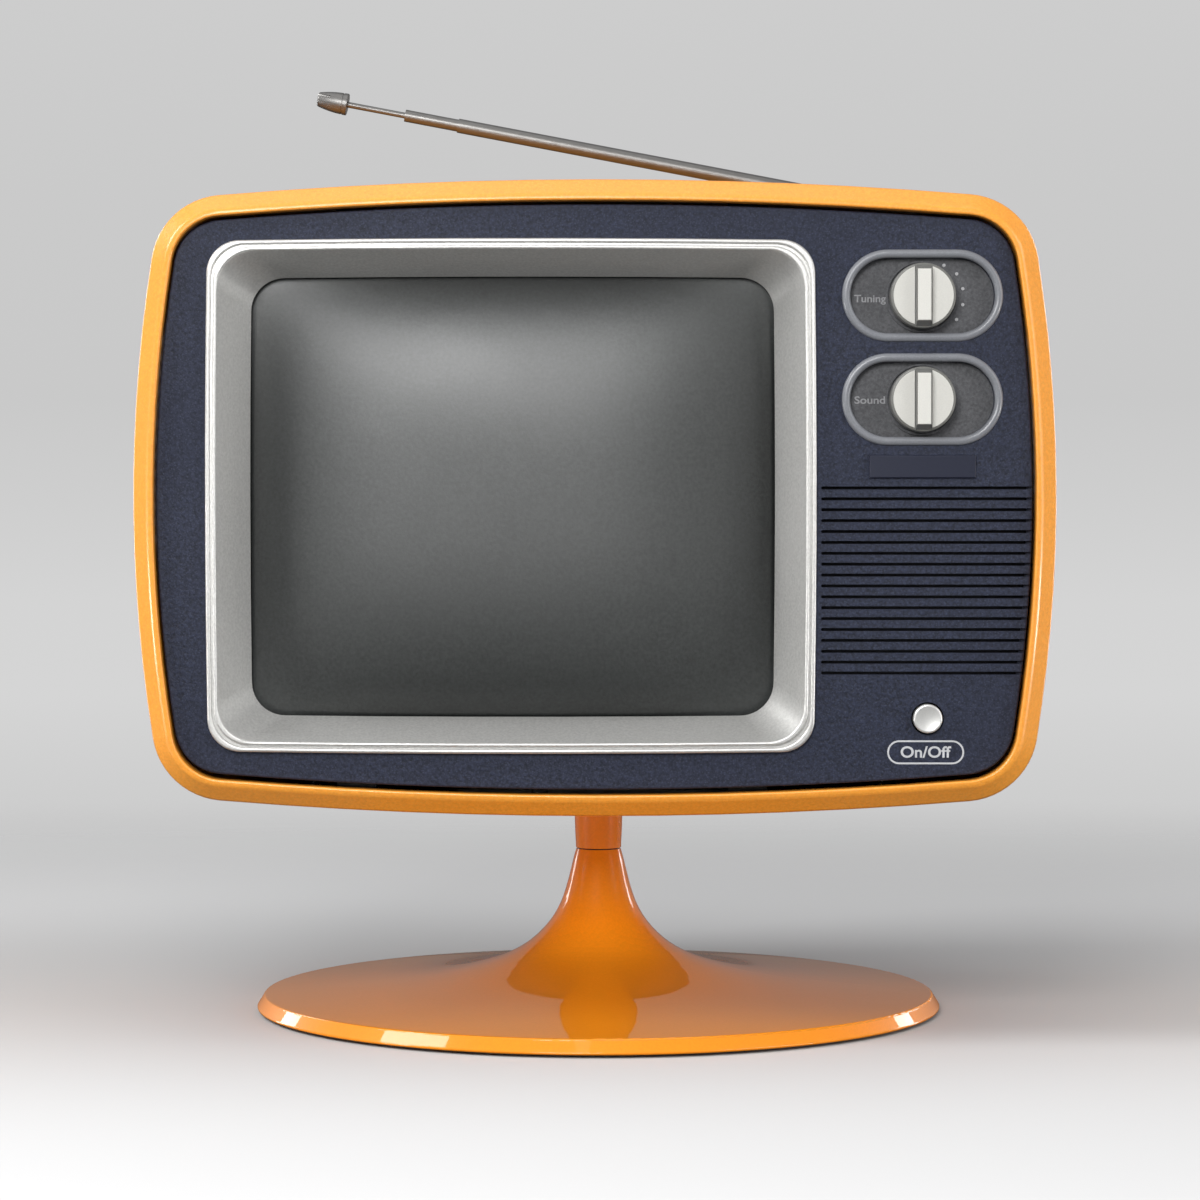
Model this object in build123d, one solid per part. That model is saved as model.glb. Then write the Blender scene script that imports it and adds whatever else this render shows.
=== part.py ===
from build123d import *
import os
from math import sin, cos, radians, degrees, hypot, sqrt, atan2, pi
from typing import NamedTuple

# A picture-tube television on a tulip pedestal, with its chassis and a telescopic antenna.
# Millimetres. +Z is up, the screen faces -Y, X runs to the viewer's right and the origin
# is under the pedestal's foot pad.

os.makedirs("parts", exist_ok=True)


class Outline(NamedTuple):
    """Four shallow arcs joined by four corner arcs, in a plane of constant Y."""
    half_x: float
    half_z: float
    top_radius: float       # of the top and bottom arcs
    side_radius: float
    corner: float
    x: float                # centre
    z: float


# ---------------------------------------------------------------- shared dimensions
CABINET_Z = 251.0           # height of the cabinet centre above the table
LIP_Y = -135.0              # front lip of the cabinet
SHELL_DEPTH = 230.0         # lip to the split line of the rear cover
SPLIT_Y = LIP_Y + SHELL_DEPTH
LIP = Outline(200.95, 135.4, 2100.0, 690.0, 23.8, -0.4, 250.2)
PANEL = Outline(199.7, 133.35, 2098.7, 688.7, 22.4, -0.6, 250.55)
PANEL_Y = -131.0            # front face of the front panel
PANEL_THICK = 4.0
PANEL_BACK = PANEL_Y + PANEL_THICK

SCREEN_X = -38.4            # centre of the screen and its surround
BOW_RADII = (9000.0, 6300.0)    # top and side arcs of the barely bowed rectangles
SURROUND_HX, SURROUND_HZ, SURROUND_CORNER = 139.3, 117.4, 15.3
TUBE_HX, TUBE_HZ, TUBE_CORNER = 128.0, 108.2, 27.0      # picture tube face

DIAL_X = 148.9
CHANNEL_DISH_Z, VOLUME_DISH_Z = 342.25, 295.1
CHANNEL_Z, VOLUME_Z = 341.95, 295.0     # knob and shaft axes
DISH_W, DISH_H, BEAD_W = 73.2, 41.8, 3.8
DISH_Y = PANEL_BACK         # floor of the recessed dishes
SHAFT_R = 3.0
SHAFT_HOLE_R = 3.05

SLOT_COUNT, SLOT_TOP_Z, SLOT_PITCH, SLOT_H = 18, 254.8, 4.958, 1.4
SLOT_X = 103.0              # left end of the loudspeaker slots
BUTTON_X, BUTTON_Z, BUTTON_R = 151.5, 149.8, 6.6

SIGNS = (-1, 1)
EAR_XS = (-110.0, 70.0)
EAR_FRONT, EAR_BACK = -118.0, -110.0
BAND_FRONT, BAND_LUG_BACK = -92.0, -90.0
# Fixing points: (x, z) for screws along Y, (x, y) for screws along Z.
EAR_POSTS = [(x, CABINET_Z + sz * 124.5) for x in EAR_XS for sz in SIGNS]
TUBE_POSTS = [(SCREEN_X + sx * 134.0, CABINET_Z + sz * 114.0) for sx in SIGNS for sz in SIGNS]
REAR_FIXINGS = [(sx * 190, CABINET_Z + sz * 117) for sx in SIGNS for sz in SIGNS]
FLOOR_FIXINGS = [(sx * 60, sy * 40) for sx in SIGNS for sy in SIGNS]
BOARD_FIXINGS = [(sx * 140, 20 + sy * 55) for sx in SIGNS for sy in SIGNS]

BRACKET_BOTTOM, BRACKET_TOP = 108.6, 111.2
BOARD_BOTTOM, BOARD_TOP = 128.0, 129.6

ANTENNA_X, ANTENNA_Y, ANTENNA_Z = 124.0, 65.0, 406.3    # antenna pivot
ANTENNA_ANGLE = 10.8        # degrees above horizontal, pointing to -X


# ---------------------------------------------------------------- outlines
def grown(outline, offset):
    """Parallel outline, offset outwards."""
    *sizes, x, z = outline
    return Outline(*(size + offset for size in sizes), x, z)


def corner_arc(outline):
    """Centre of the upper right corner arc, and the angles where it meets the side and top."""
    top_z = outline.half_z - outline.top_radius
    side_x = outline.half_x - outline.side_radius
    x, z = outline.half_x - outline.corner, outline.half_z - outline.corner
    # Newton steps until the corner arc is tangent to both neighbours
    for _ in range(60):
        top_dist, side_dist = hypot(x, z - top_z), hypot(x - side_x, z)
        top_error = top_dist - (outline.top_radius - outline.corner)
        side_error = side_dist - (outline.side_radius - outline.corner)
        top_ux, top_uz = x / top_dist, (z - top_z) / top_dist
        side_ux, side_uz = (x - side_x) / side_dist, z / side_dist
        det = top_ux * side_uz - top_uz * side_ux
        x += (-top_error * side_uz + side_error * top_uz) / det
        z += (-side_error * top_ux + top_error * side_ux) / det
    return x, z, atan2(z, x - side_x), atan2(z - top_z, x)


def outline_wire(outline, y):
    hx, hz = outline.half_x, outline.half_z
    corner_x, corner_z, side_angle, top_angle = corner_arc(outline)

    def on_corner(angle):
        return (corner_x + outline.corner * cos(angle), corner_z + outline.corner * sin(angle))

    top_x, top_z = on_corner(top_angle)
    side_x, side_z = on_corner(side_angle)
    mid_x, mid_z = on_corner((top_angle + side_angle) / 2)
    # clockwise from the left end of the top arc; every second point is mid-arc
    points = [
        (-top_x, top_z), (0, hz), (top_x, top_z), (mid_x, mid_z),
        (side_x, side_z), (hx, 0), (side_x, -side_z), (mid_x, -mid_z),
        (top_x, -top_z), (0, -hz), (-top_x, -top_z), (-mid_x, -mid_z),
        (-side_x, -side_z), (-hx, 0), (-side_x, side_z), (-mid_x, mid_z),
    ]
    points = [Vector(outline.x + x, y, outline.z + z) for x, z in points]
    points.append(points[0])
    return Wire([Edge.make_three_point_arc(*points[i:i + 3]) for i in range(0, 16, 2)])


def cabinet_wire(offset, y):
    return outline_wire(grown(LIP, offset), y)


def panel_wire(offset, y):
    return outline_wire(grown(PANEL, offset), y)


def bowed_wire(y, half_x, half_z, corner):
    """Rounded rectangle with barely bowed sides, centred on the screen."""
    return outline_wire(Outline(half_x, half_z, *BOW_RADII, corner, SCREEN_X, CABINET_Z), y)


def tube_wire(y, offset=0.0):
    return bowed_wire(y, TUBE_HX + offset, TUBE_HZ + offset, TUBE_CORNER + offset)


# ---------------------------------------------------------------- solids
def prism(wire, depth):
    return Solid.extrude(Face(wire), Vector(0, depth, 0))


def ruled_loft(wires):
    return Solid.make_loft(wires, ruled=True)


def lines(points):
    """Straight edges through the points in turn."""
    return [Edge.make_line(a, b) for a, b in zip(points, points[1:])]


def swept_round_cabinet(profile):
    """Closed profile carried round the cabinet outline, one turned piece per arc.

    profile(place) gives the edges; place(offset, depth behind the lip) maps into space."""
    x, z, side, top = corner_arc(LIP)
    side_x, top_z = LIP.half_x - LIP.side_radius, LIP.half_z - LIP.top_radius
    # centre x, centre z, radius, start angle, end angle
    arcs = [
        (side_x, 0.0, LIP.side_radius, -side, side),
        (x, z, LIP.corner, side, top),
        (0.0, top_z, LIP.top_radius, top, pi - top),
        (-x, z, LIP.corner, pi - top, pi - side),
        (-side_x, 0.0, LIP.side_radius, pi - side, pi + side),
        (-x, -z, LIP.corner, pi + side, pi + top),
        (0.0, -top_z, LIP.top_radius, pi + top, 2 * pi - top),
        (x, -z, LIP.corner, 2 * pi - top, 2 * pi - side),
    ]
    pieces = []
    for arc_x, arc_z, radius, start, end in arcs:
        centre_x, centre_z = LIP.x + arc_x, LIP.z + arc_z

        def place(offset, depth):
            reach = radius + offset
            return Vector(centre_x + reach * cos(start), LIP_Y + depth,
                          centre_z + reach * sin(start))

        axis = Axis((centre_x, 0, centre_z), (0, -1, 0))
        pieces.append(Solid.revolve(Face(Wire(profile(place))), degrees(end - start), axis))
    return largest(pieces[0].fuse(*pieces[1:]))


def cyl_y(x, z, radius, y0, y1):
    plane = Plane(origin=(x, y0, z), x_dir=(1, 0, 0), z_dir=(0, 1, 0))
    return Solid.make_cylinder(radius, y1 - y0, plane)


def cyl_z(x, y, radius, z0, z1):
    plane = Plane(origin=(x, y, z0), x_dir=(1, 0, 0), z_dir=(0, 0, 1))
    return Solid.make_cylinder(radius, z1 - z0, plane)


def box(x0, x1, y0, y1, z0, z1):
    plane = Plane(origin=(x0, y0, z0), x_dir=(1, 0, 0), z_dir=(0, 0, 1))
    return Solid.make_box(x1 - x0, y1 - y0, z1 - z0, plane)


def stadium(x, z, width, height, y0, y1):
    """Solid stadium between y0 (front) and y1 (back)."""
    plane = Plane(origin=(x, y1, z), x_dir=(1, 0, 0), z_dir=(0, -1, 0))
    return extrude(plane * SlotOverall(width, height), amount=y1 - y0)


def turned_z(points, x=0.0, y=0.0):
    """Solid of revolution about a vertical line from a closed (radius, z) outline."""
    face = Face(Wire.make_polygon([Vector(r, 0, z) for r, z in points], close=True))
    return Pos(x, y, 0) * Solid.revolve(face, 360, Axis.Z)


def turned_y(points, x, z):
    """Solid of revolution about the Y line through (x, z) from a closed (radius, y) outline."""
    face = Face(Wire.make_polygon([Vector(x + r, y, z) for r, y in points], close=True))
    return Solid.revolve(face, 360, Axis((x, 0, z), (0, 1, 0)))


def hex_nut(x, y, across_flats, hole_r, z0, z1):
    hexagon = RegularPolygon(across_flats / 2, 6, major_radius=False)
    return extrude(Plane(origin=(x, y, z0)) * hexagon, amount=z1 - z0) \
        - cyl_z(x, y, hole_r, z0 - 1, z1 + 1)


def screw_y(x, z, seat_y, shank_r, length, head_r, slot_floor):
    """Slotted screw driven towards -Y, its head resting on seat_y."""
    return cyl_y(x, z, shank_r, seat_y - length, seat_y) \
        + cyl_y(x, z, head_r, seat_y, seat_y + 2.6) \
        - box(x - 3, x + 3, seat_y + slot_floor, seat_y + 3, z - 0.5, z + 0.5)


def screw_z(x, y, seat_z):
    """Slotted screw driven downwards, its head resting on seat_z."""
    return cyl_z(x, y, 1.6, seat_z - 7.0, seat_z) + cyl_z(x, y, 3.4, seat_z, seat_z + 2.2) \
        - box(x - 3, x + 3, y - 0.5, y + 0.5, seat_z + 1.2, seat_z + 3)


def largest(shape):
    """Largest solid of a boolean result."""
    return max(shape.solids(), key=lambda solid: solid.volume)


def edges_at(shape, y):
    return [e for e in shape.edges() if all(abs(v.Y - y) < 1e-3 for v in e.vertices())]


def try_round(shape, y, radius):
    """Round the edges at y."""
    edges = edges_at(shape, y)
    try:
        return largest(largest(shape).fillet(radius, edges))
    except Exception:
        # guards against a fillet the kernel can't build: the edges then stay sharp
        return shape


def save(name, shape):
    shapes = shape if isinstance(shape, (list, tuple)) else [shape]
    solids = [solid for item in shapes for solid in item.solids()]
    out = solids[0] if len(solids) == 1 else Compound(children=solids)
    out.label = name
    export_step(out, "parts/" + name + ".step")


# ---------------------------------------------------------------- pedestal
SPINDLE_R = 6.0
SPINDLE_HOLE_R = 6.02
BASE_TOP, BASE_SEAT = 78.4, 44.0    # ends of the base's bore
PAD_TOP = 1.5
BALLAST_TOP = 13.0
NUT_SIZE, NUT_HEIGHT = 19, 7.0      # across flats, height
WASHER_TOP = 112.8

# (radius, z) down the outside of the base
BASE_OUTER = [
    (11.0, BASE_TOP), (11.6, 76.5), (13.6, 68.5), (15.6, 60.6), (18.3, 52.6), (22.5, 44.7),
    (29.0, 36.9), (40.0, 28.6), (57.0, 21.8), (78.0, 16.8), (104.0, 13.3), (134.0, 10.7),
    (164.0, 8.3),
]
# (radius, z) up the inside
BASE_INNER = [
    (163.0, 4.8), (134.0, 7.4), (104.0, 10.2), (78.0, 13.7), (57.0, 18.4), (40.0, 24.8),
    (30.0, 31.6), (23.5, 38.0), (17.5, BASE_SEAT),
]


def base_tulip():
    def at(points):
        return [Vector(r, 0, z) for r, z in points]

    edges = [
        *lines(at([(SPINDLE_HOLE_R, BASE_TOP), BASE_OUTER[0]])),
        Edge.make_spline(at(BASE_OUTER)),
        # bevelled rim
        Edge.make_three_point_arc(*at([BASE_OUTER[-1], (164.75, 8.02), (165.2, 7.4)])),
        *lines(at([(165.2, 7.4), (168.1, 2.7)])),
        Edge.make_three_point_arc(*at([(168.1, 2.7), (168.3, 1.9), (167.8, 1.3)])),
        *lines(at([(167.8, 1.3), (163.0, 1.3), BASE_INNER[0]])),
        Edge.make_spline(at(BASE_INNER)),
        *lines(at([BASE_INNER[-1], (SPINDLE_HOLE_R, BASE_SEAT), (SPINDLE_HOLE_R, BASE_TOP)])),
    ]
    return Solid.revolve(Face(Wire(edges)), 360, Axis.Z)


save("base_tulip", base_tulip())
save("ballast_disc", turned_z([
    (SPINDLE_HOLE_R, PAD_TOP), (125, PAD_TOP), (125, 6.6), (60, 6.6), (58, BALLAST_TOP),
    (SPINDLE_HOLE_R, BALLAST_TOP)]))
save("foot_pad", cyl_z(0, 0, 161.0, 0.0, PAD_TOP))
save("spindle", turned_z([(0, 3.0), (5.4, 3.0), (SPINDLE_R, 3.6), (SPINDLE_R, 123.2),
                          (5.2, 124.0), (0, 124.0)]))
save("spindle_nuts", [hex_nut(0, 0, NUT_SIZE, SPINDLE_HOLE_R, z, z + NUT_HEIGHT)
                      for z in (BALLAST_TOP, BASE_SEAT - NUT_HEIGHT, WASHER_TOP)])
save("friction_washer", turned_z([(6.05, BASE_TOP), (10.2, BASE_TOP), (10.2, 78.85),
                                  (6.05, 78.85)]))
save("thrust_washer", turned_z([(SPINDLE_HOLE_R, 111.25), (14.0, 111.25), (14.0, WASHER_TOP),
                                (SPINDLE_HOLE_R, WASHER_TOP)]))

# ---------------------------------------------------------------- cabinet shell
# (offset outwards from the lip outline, depth behind the lip)
SHELL_OUTER = [
    (10.08, 8.93), (10.7, 20.0), (12.0, 45.0), (13.5, 80.0), (14.2, 120.0), (14.0, 165.0),
    (12.4, SHELL_DEPTH),
]
SHELL_INNER = [
    (9.2, SHELL_DEPTH), (10.8, 165.0), (11.0, 120.0), (10.3, 80.0), (8.8, 45.0), (7.4, 22.0),
    (4.6, 12.0),
]


def shell_profile(at):
    """Inner edge, rolled front, broad 45 degree chamfer, then the long flank."""
    return [
        Edge.make_line(at(0, 12.0), at(0, 0.9)),
        Edge.make_three_point_arc(at(0, 0.9), at(0.264, 0.264), at(0.9, 0)),
        Edge.make_three_point_arc(at(0.9, 0), at(2.278, 0.274), at(3.446, 1.054)),
        Edge.make_line(at(3.446, 1.054), at(9.2, 6.81)),
        Edge.make_three_point_arc(at(9.2, 6.81), at(9.852, 7.782), at(*SHELL_OUTER[0])),
        Edge.make_spline([at(*point) for point in SHELL_OUTER]),
        Edge.make_line(at(*SHELL_OUTER[-1]), at(*SHELL_INNER[0])),
        Edge.make_spline([at(*point) for point in SHELL_INNER]),
        Edge.make_line(at(*SHELL_INNER[-1]), at(0, 12.0)),
    ]


def shell_bosses():
    bosses = []
    for floor, board in zip(FLOOR_FIXINGS, BOARD_FIXINGS):
        # swivel bracket boss on the cabinet floor, then a circuit board pillar
        bosses.append(cyl_z(*floor, 6.0, 103.0, BRACKET_BOTTOM))
        bosses.append(cyl_z(*board, 4.5, 106.6 if board[1] < 0 else 108.4, BOARD_BOTTOM))
    for sz in SIGNS:
        # ears behind the top and bottom of the front panel
        for x in EAR_XS:
            z0, z1 = sorted((CABINET_Z + sz * 118.5, CABINET_Z + sz * 150))
            ear = box(x - 9, x + 9, EAR_FRONT, EAR_BACK, z0, z1)
            bosses.append(largest(ear & prism(cabinet_wire(9.4, -120.0), 14.0)))
        # rear cover ears in the corners
        for sx in SIGNS:
            x0, x1 = sorted((sx * 182, sx * 215))
            z0, z1 = sorted((CABINET_Z + sz * 109, CABINET_Z + sz * 145))
            ear = box(x0, x1, 70.0, 84.0, z0, z1)
            bosses.append(largest(ear & prism(cabinet_wire(11.4, 60.0), 30.0)))
    return bosses


def cabinet_shell():
    shell = swept_round_cabinet(shell_profile)
    for boss in shell_bosses():
        shell = shell + boss
    shell = largest(shell)
    for floor, board in zip(FLOOR_FIXINGS, BOARD_FIXINGS):
        shell = shell - cyl_z(*floor, 1.62, 104.0, 112.0) - cyl_z(*board, 1.62, 114.0, 130.0)
    for x, z in REAR_FIXINGS:
        shell = shell - cyl_y(x, z, 1.8, 60.0, 90.0)
    for x, z in EAR_POSTS:
        shell = shell - cyl_y(x, z, 2.1, -122.0, -104.0)
    # holes for the neck collar and the antenna bushing
    shell = shell - cyl_z(0, 0, 12.3, 90.0, 110.0)
    shell = shell - cyl_z(ANTENNA_X, ANTENNA_Y, 13.1, 380.0, 402.0)
    return largest(shell)


save("cabinet_shell", cabinet_shell())


# ---------------------------------------------------------------- front panel
def slot_cutters():
    """Per slot: a shallow groove to the panel's edge, a through cut and its round left end."""
    cutters = []
    start_x, front = SLOT_X + SLOT_H / 2, PANEL_Y - 1
    for i in range(SLOT_COUNT):
        z = SLOT_TOP_Z - i * SLOT_PITCH
        z0, z1 = z - SLOT_H / 2, z + SLOT_H / 2
        cutters.append(box(start_x, 206.0, front, PANEL_Y + 2.4, z0, z1))
        # the through cut leaves a short web at the panel's edge
        edge_x = PANEL.x + PANEL.half_x - PANEL.side_radius \
            + sqrt(PANEL.side_radius ** 2 - (z - PANEL.z) ** 2)
        cutters.append(box(start_x, edge_x - 2.4, front, PANEL_Y + 6, z0, z1))
        cutters.append(cyl_y(start_x, z, SLOT_H / 2, front, PANEL_Y + 6))
    return cutters


def front_panel():
    panel = try_round(prism(panel_wire(0.0, PANEL_Y), PANEL_THICK), PANEL_Y, 1.0)
    front, back = PANEL_Y - 2, PANEL_Y + 10
    panel = panel - prism(bowed_wire(front, SURROUND_HX - 2.6, SURROUND_HZ - 2.6,
                                     SURROUND_CORNER - 2.6), 10.0)
    for z in (CHANNEL_DISH_Z, VOLUME_DISH_Z):
        panel = panel - stadium(DIAL_X, z, DISH_W - 2 * BEAD_W, DISH_H - 2 * BEAD_W, front, back)
    panel = panel - cyl_y(BUTTON_X, BUTTON_Z, BUTTON_R + 0.85, front, back)
    for cutter in slot_cutters():
        panel = panel - cutter
    panel = largest(panel)
    # posts: four meet the cabinet ears, four longer ones carry the picture tube lugs
    for x, z in EAR_POSTS:
        panel = panel + cyl_y(x, z, 4.4, PANEL_BACK - 0.5, EAR_FRONT)
    for x, z in TUBE_POSTS:
        panel = panel + cyl_y(x, z, 4.0, PANEL_BACK - 0.5, BAND_FRONT)
    panel = largest(panel)
    for x, z in EAR_POSTS:
        panel = panel - cyl_y(x, z, 2.02, PANEL_Y + 2.5, -110.0)
    for x, z in TUBE_POSTS:
        panel = panel - cyl_y(x, z, 2.02, -106.0, -90.0)
    return largest(panel)


save("front_panel", front_panel())
save("front_screws", [
    screw_y(x, z, seat_y, shank_r=2.0, length=14.5, head_r=3.7, slot_floor=1.4)
    for posts, seat_y in ((EAR_POSTS, EAR_BACK), (TUBE_POSTS, BAND_LUG_BACK)) for x, z in posts])

# ---------------------------------------------------------------- screen surround
OPENING_Y = -111.0          # where the sloping surround ends
GLASS_Y = -124.0            # nearest point of the screen glass
GLASS_SWELL = 18.0          # how far its rim lies behind that point
# half width, half height and corner of the slope's two ends
SLOPE_FOOT = (SURROUND_HX - 5.0, SURROUND_HZ - 5.0, SURROUND_CORNER + 1.7)
OPENING = (121.2, 101.6, 15.5)


def behind_glass(shift):
    """Everything behind the screen's swollen front surface, moved back by shift."""
    reach, count = 1.03, 27     # extent beyond the tube's rim, points per side
    steps = [reach * (2 * i / (count - 1) - 1) for i in range(count)]
    rows = [[Vector(SCREEN_X + u * TUBE_HX,
                    GLASS_Y + GLASS_SWELL * (1 - (1 - abs(u) ** 3.5) * (1 - abs(v) ** 3.5)) + shift,
                    CABINET_Z + v * TUBE_HZ) for v in steps] for u in steps]
    sheet = Face.make_surface_from_array_of_points(rows, tol=0.01, min_deg=3, max_deg=5)
    return Solid.extrude(sheet, Vector(0, 70.0, 0))


def surround_wire(inset, y):
    return bowed_wire(y, SURROUND_HX - inset, SURROUND_HZ - inset, SURROUND_CORNER + inset * 0.3)


def surround_ring(outer_inset, inner_inset, rise, depth):
    """Ring whose front stands proud of the panel by rise."""
    return prism(surround_wire(outer_inset, PANEL_Y - rise), depth) \
        - prism(surround_wire(inner_inset, PANEL_Y - rise - 1.0), 6.0)


def slope_wire(y, size, grow=0.0):
    half_x, half_z, corner = size
    return bowed_wire(y, half_x + grow, half_z + grow, corner + grow * 0.5)


def screen_surround():
    outer_bead = try_round(surround_ring(0.0, 2.2, 3.0, 3.0), PANEL_Y - 3.0, 1.05)
    inner_bead = try_round(surround_ring(3.1, 5.0, 3.2, 3.2), PANEL_Y - 3.2, 0.9)
    groove_floor = surround_ring(2.2, 3.1, 1.9, 1.9)
    foot_y = PANEL_Y - 2.4
    slope = ruled_loft([slope_wire(foot_y, SLOPE_FOOT, 2.2), slope_wire(OPENING_Y, OPENING, 2.4)]) \
        - ruled_loft([slope_wire(foot_y, SLOPE_FOOT), slope_wire(OPENING_Y, OPENING)])
    # collar that ties the inner bead to the slope
    tie = surround_ring(2.7, 5.0, 1.2, 1.3)
    return largest(largest(outer_bead) + tie + groove_floor + largest(inner_bead) + largest(slope))


def screen_gasket():
    sleeve = prism(slope_wire(OPENING_Y, OPENING, 2.4), 18.0) \
        - prism(slope_wire(OPENING_Y - 1, OPENING), 30.0)
    return largest(largest(sleeve) - behind_glass(-0.6))


save("screen_surround", screen_surround())
save("screen_gasket", screen_gasket())

# ---------------------------------------------------------------- picture tube
SKIRT_Y = -74.0             # joint between faceplate and funnel
FUNNEL_DEPTH = 112.0
FACE_BLANK_Y = -130.0       # front of the blanks that the glass is trimmed from
CAVITY = (TUBE_HX - 8, TUBE_HZ - 8, TUBE_CORNER - 6)
NECK_R = 14.5
# depth behind the skirt, half width, half height, corner
FUNNEL_OUTER = [
    (0.0, TUBE_HX, TUBE_HZ, TUBE_CORNER), (22.0, 112.0, 93.5, 38.0), (50.0, 76.0, 66.0, 48.0),
    (74.0, 42.0, 39.0, 34.0), (96.0, 19.5, 19.3, 18.6), (FUNNEL_DEPTH, 14.8, 14.8, 14.5),
]
FUNNEL_INNER = [
    (-0.5, *CAVITY), (22.0, 108.0, 89.5, 35.0), (50.0, 72.6, 62.6, 45.0),
    (74.0, 39.0, 36.0, 31.4), (96.0, 17.3, 17.1, 16.4), (FUNNEL_DEPTH + 0.5, 12.6, 12.6, 12.3),
]


def funnel_loft(stations, grow=0.0):
    return ruled_loft([bowed_wire(SKIRT_Y + depth, half_x + grow, half_z + grow, corner)
                       for depth, half_x, half_z, corner in stations])


def crt_faceplate():
    glass = largest(prism(tube_wire(FACE_BLANK_Y), SKIRT_Y - FACE_BLANK_Y) & behind_glass(0.0))
    hollow = largest(prism(bowed_wire(FACE_BLANK_Y, *CAVITY), 60.0) & behind_glass(9.0))
    return largest(glass - hollow)


def crt_funnel():
    funnel = largest(funnel_loft(FUNNEL_OUTER) - funnel_loft(FUNNEL_INNER))
    neck_y = SKIRT_Y + FUNNEL_DEPTH
    neck = cyl_y(SCREEN_X, CABINET_Z, NECK_R, neck_y - 1.0, 112.0) \
        - cyl_y(SCREEN_X, CABINET_Z, NECK_R - 2.0, neck_y - 4.0, 110.0)
    return largest(funnel + largest(neck))


def implosion_band():
    """Band round the tube's rim with a screw lug at each corner."""
    gap = 0.02
    band = largest(prism(tube_wire(BAND_FRONT, 1.6), 13.0) - prism(tube_wire(-93.0, gap), 16.0))
    for x, z in TUBE_POSTS:
        sx, sz = (1 if x > SCREEN_X else -1), (1 if z > CABINET_Z else -1)
        x0, x1 = sorted((SCREEN_X + sx * (TUBE_HX - 14.0), x + sx * 5.0))
        z0, z1 = sorted((CABINET_Z + sz * (TUBE_HZ - 14.0), z + sz * 5.0))
        lug = box(x0, x1, BAND_FRONT, BAND_LUG_BACK, z0, z1) - prism(tube_wire(-94.0, gap), 6.0)
        band = band + largest(lug)
    for x, z in TUBE_POSTS:
        band = band - cyl_y(x, z, 2.1, -94.0, -88.0)
    return largest(band)


def yoke_coils():
    coils = turned_y([
        (46.0, -6.0), (58.0, -6.0), (50.0, 3.0), (40.0, 6.0), (26.0, 33.0), (27.0, 39.0),
        (15.4, 39.0), (15.4, 34.0), (20.5, 24.0), (30.0, 8.0)], SCREEN_X, CABINET_Z)
    return largest(coils - largest(funnel_loft(FUNNEL_OUTER, 0.4))
                   - cyl_y(SCREEN_X, CABINET_Z, NECK_R + 0.2, -10.0, 60.0))


def yoke_core(coils):
    core = turned_y([(41.2, 8.0), (45.0, 8.0), (34.0, 32.0), (27.5, 32.0)], SCREEN_X, CABINET_Z)
    return largest(core - coils)


def crt_socket_board():
    board = box(SCREEN_X - 32, SCREEN_X + 32, 122.0, 123.6, CABINET_Z - 30, CABINET_Z + 30) \
        + cyl_y(SCREEN_X, CABINET_Z, 16.0, 113.0, 122.0)
    return largest(board - cyl_y(SCREEN_X, CABINET_Z, 3.0, 110.0, 126.0))


def anode_cap():
    """Cap on the funnel flank with its lead down to the line output transformer."""
    cap_x, normal = SCREEN_X + 20.0, (0, 0.62, 0.78)
    cap = Solid.make_cone(14.0, 6.0, 8.0,
                          Plane(origin=(cap_x, -26.0, CABINET_Z + 82.0), z_dir=normal))
    cap = largest(cap - funnel_loft(FUNNEL_OUTER, 0.3))
    path = Edge.make_spline(
        [Vector(cap_x, -22.3, CABINET_Z + 86.9), Vector(SCREEN_X + 8, 2.0, CABINET_Z + 100.0),
         Vector(-112.0, 24.0, CABINET_Z + 68.0), Vector(-124.0, 44.0, 222.0),
         Vector(-114.0, 50.0, 180.5)],
        tangents=[Vector(*normal), Vector(0, 0, -1)])
    lead = sweep(Plane(origin=path @ 0, z_dir=path % 0) * Circle(1.6), path=path)
    return largest(cap + lead)


save("crt_faceplate", crt_faceplate())
save("crt_funnel", crt_funnel())
save("implosion_band", implosion_band())
coils = yoke_coils()
save("yoke_coils", coils)
save("yoke_core", yoke_core(coils))
save("crt_socket_board", crt_socket_board())
save("anode_cap", anode_cap())

# ---------------------------------------------------------------- chassis
# x, y, radius, height
CAPACITORS = [(-20, 60, 9.0, 30), (4, 60, 9.0, 30), (30, 55, 6.5, 22), (52, 40, 5.0, 16),
              (-60, 56, 6.5, 22), (-84, 50, 5.0, 16)]
FIN_COUNT, FIN_X, FIN_PITCH, FIN_THICK = 11, -68.0, 12.6, 2.0


def main_board():
    board = box(-150.0, 150.0, -44.0, 84.0, BOARD_BOTTOM, BOARD_TOP)
    for x, y in BOARD_FIXINGS:
        board = board - cyl_z(x, y, 1.8, 126.0, 132.0)
    return largest(board)


def line_transformer():
    body = box(-132.0, -96.0, 32.0, 69.0, BOARD_TOP, 168.0) + cyl_z(-114.0, 50.0, 13.0, 168.0, 186.0)
    return largest(body - cyl_z(-114.0, 50.0, 1.7, 180.0, 190.0))


def mains_transformer():
    core = box(84.0, 132.0, 30.0, 70.0, BOARD_TOP, 171.6)
    bobbin = box(78.0, 138.0, 38.0, 62.0, 135.0, 166.0)
    return largest(core + bobbin)


def capacitor(x, y, radius, height):
    """Can with a crimp near its foot."""
    low, top = BOARD_TOP, BOARD_TOP + height
    return turned_z([(0, low), (radius, low), (radius, low + 1.6), (radius - 0.5, low + 2.2),
                     (radius, low + 2.8), (radius, top - 0.6), (radius - 0.6, top), (0, top)], x, y)


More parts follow.
